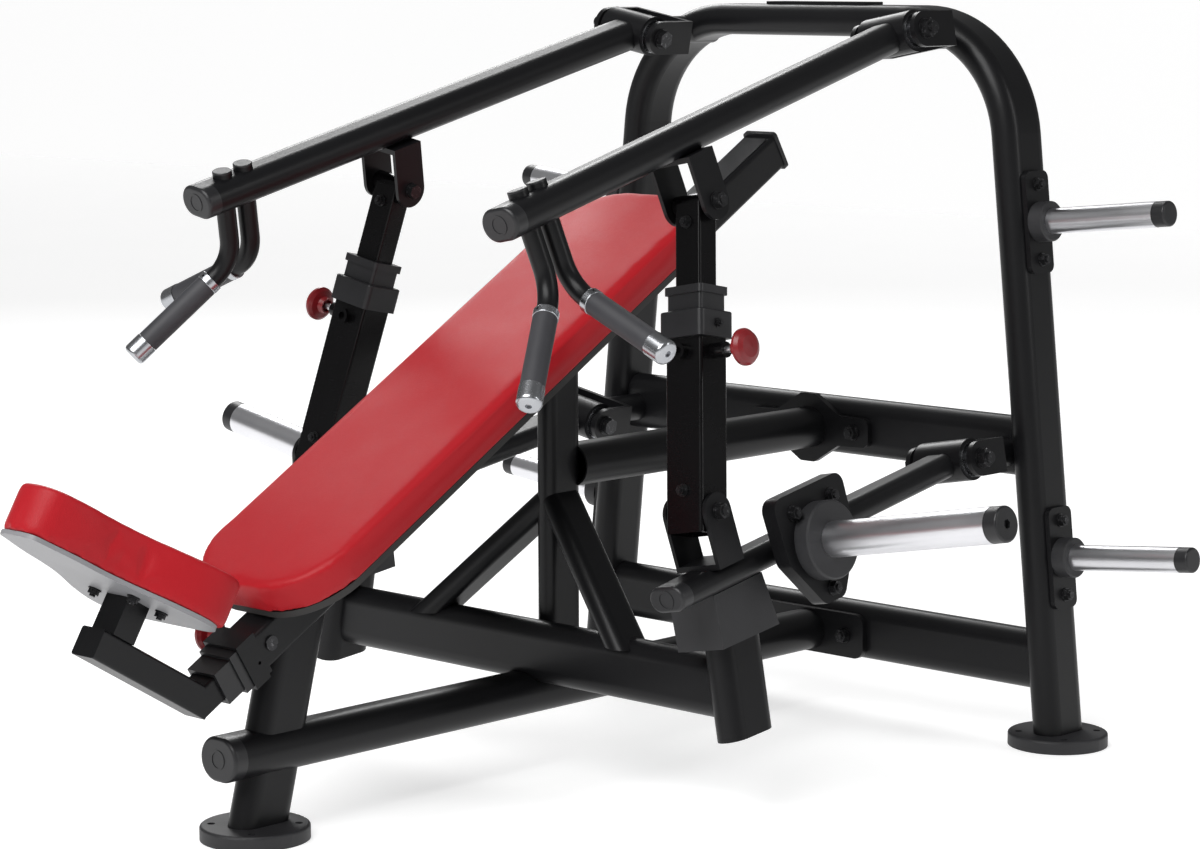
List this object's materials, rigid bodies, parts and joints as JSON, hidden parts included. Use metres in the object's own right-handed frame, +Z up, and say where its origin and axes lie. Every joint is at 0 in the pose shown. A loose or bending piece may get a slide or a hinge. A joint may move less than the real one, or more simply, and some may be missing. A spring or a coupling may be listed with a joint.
{
  "type": "chest press machine",
  "caption": "Plate-loaded converging chest press with an inclined red bench, adjustable seat, press arms with angled grips, linked weight levers and a black tubular frame.",
  "frame": {"origin": "middle of the footprint's bounding box, on the floor", "axes": "+Z up, +X to the lifter's left-hand side when seated, +Y from the seat end towards the rear arch; the machine is symmetric about X = 0 apart from its bolts' heads and the seat pin"},
  "size_m": [1.5648, 1.6483, 1.1055],
  "materials": {
    "frame_black": "satin black powder coat, fine orange peel",
    "strut_black": "semi-gloss black powder coat",
    "chrome_bar": "bright chrome plate on turned bar",
    "zinc_bolts": "black-oxide bolts, washers and nuts",
    "black_rubber": "matt black moulded rubber",
    "black_plastic": "moulded black plastic, fine grain",
    "red_vinyl": "red upholstery vinyl, fine grain, sewn over foam",
    "board_black": "black-faced plywood",
    "seat_plate_grey": "light grey moulded under-shell",
    "red_knob": "glossy red knob",
    "polished_aluminium": "polished turned aluminium",
    "grip_rubber": "dark grey ribbed grip sleeve"
  },
  "bodies": {
    "frame": {"foot_discs": "black_rubber", "rear_arch": "frame_black", "rear_beams": "frame_black", "spine_beam": "frame_black", "upper_beam": "frame_black", "front_post": "frame_black", "front_beam": "frame_black", "centre_post": "frame_black", "bench_rail": "frame_black", "frame_trim": "black_plastic", "back_board": "board_black", "back_pad": "red_vinyl", "frame_rubbers": "black_rubber", "pivot_brackets": "frame_black", "pivot_bolts": "zinc_bolts", "storage_bases": "frame_black", "storage_horns": "chrome_bar", "frame_bolts": "zinc_bolts"},
    "seat_slide": {"seat_carriage": "frame_black", "seat_plate": "seat_plate_grey", "seat_pad": "red_vinyl", "seat_bolts": "zinc_bolts"},
    "seat_pin": {"seat_pin": "chrome_bar", "seat_knob": "red_knob"},
    "press_arm_R": {"press_arm_R": "frame_black", "arm_trim_R": "black_plastic", "handle_tubes_R": "frame_black", "handle_grips_R": "grip_rubber", "grip_fittings_R": "polished_aluminium"},
    "strut_R": {"strut_inner_R": "strut_black", "strut_outer_R": "strut_black", "strut_bushes_R": "black_plastic", "strut_bolts_R": "zinc_bolts"},
    "strut_pin_R": {"strut_pin_R": "chrome_bar", "strut_knob_R": "red_knob"},
    "weight_lever_R": {"weight_lever_R": "frame_black", "lever_rings_R": "polished_aluminium", "lever_trim_R": "black_plastic", "lever_bolts_R": "zinc_bolts", "horn_plate_R": "frame_black", "horn_disc_R": "black_rubber", "weight_horn_R": "chrome_bar"},
    "press_arm_L": {"press_arm_L": "frame_black", "arm_trim_L": "black_plastic", "handle_tubes_L": "frame_black", "handle_grips_L": "grip_rubber", "grip_fittings_L": "polished_aluminium"},
    "strut_L": {"strut_inner_L": "strut_black", "strut_outer_L": "strut_black", "strut_bushes_L": "black_plastic", "strut_bolts_L": "zinc_bolts"},
    "strut_pin_L": {"strut_pin_L": "chrome_bar", "strut_knob_L": "red_knob"},
    "weight_lever_L": {"weight_lever_L": "frame_black", "lever_rings_L": "polished_aluminium", "lever_trim_L": "black_plastic", "lever_bolts_L": "zinc_bolts", "horn_plate_L": "frame_black", "horn_disc_L": "black_rubber", "weight_horn_L": "chrome_bar"}
  },
  "joints": [
    {"name": "press_arm_hinge_R", "type": "hinge", "parent": "frame", "child": "press_arm_R", "pos_m": [0.26162, 0.59415, 1.0592], "axis": [-0.9829, 0, -0.184], "range_deg": [0, 25]},
    {"name": "strut_hinge_R", "type": "hinge", "parent": "press_arm_R", "child": "strut_R", "pos_m": [0.30283, 0.11515, 0.83902], "axis": [-0.9829, 0, -0.184], "range_deg": [-37.72, 0]},
    {"name": "weight_lever_hinge_R", "type": "hinge", "parent": "frame", "child": "weight_lever_R", "pos_m": [0.37788, 0.58915, 0.43799], "axis": [-0.9829, 0, -0.184], "range_deg": [0, 22.63]},
    {"name": "strut_pin_pull_R", "type": "slide", "parent": "strut_R", "child": "strut_pin_R", "axis": [0.9829, 0, 0.184], "range_m": [0, 0.012], "stiffness_N_per_m": 400, "springref_m": -0.01},
    {"name": "press_arm_hinge_L", "type": "hinge", "parent": "frame", "child": "press_arm_L", "pos_m": [-0.26162, 0.59415, 1.0592], "axis": [-0.9829, 0, 0.184], "range_deg": [0, 25]},
    {"name": "strut_hinge_L", "type": "hinge", "parent": "press_arm_L", "child": "strut_L", "pos_m": [-0.30283, 0.11515, 0.83902], "axis": [-0.9829, 0, 0.184], "range_deg": [-37.72, 0]},
    {"name": "weight_lever_hinge_L", "type": "hinge", "parent": "frame", "child": "weight_lever_L", "pos_m": [-0.37788, 0.58915, 0.43799], "axis": [-0.9829, 0, 0.184], "range_deg": [0, 22.63]},
    {"name": "strut_pin_pull_L", "type": "slide", "parent": "strut_L", "child": "strut_pin_L", "axis": [-0.9829, 0, 0.184], "range_m": [0, 0.012], "stiffness_N_per_m": 400, "springref_m": -0.01},
    {"name": "seat_slide_adjust", "type": "slide", "parent": "frame", "child": "seat_slide", "axis": [0, 0.8616, 0.5075], "range_m": [-0.1, 0.01]},
    {"name": "seat_pin_pull", "type": "slide", "parent": "frame", "child": "seat_pin", "axis": [-1, 0, 0], "range_m": [0, 0.012], "stiffness_N_per_m": 400, "springref_m": -0.01}
  ],
  "couplings": [
    {"joint": "strut_hinge_R", "follows": "press_arm_hinge_R", "ratio": -1.4792},
    {"joint": "weight_lever_hinge_R", "follows": "press_arm_hinge_R", "ratio": 0.8874},
    {"joint": "strut_hinge_L", "follows": "press_arm_hinge_L", "ratio": -1.4792},
    {"joint": "weight_lever_hinge_L", "follows": "press_arm_hinge_L", "ratio": 0.8874}
  ]
}
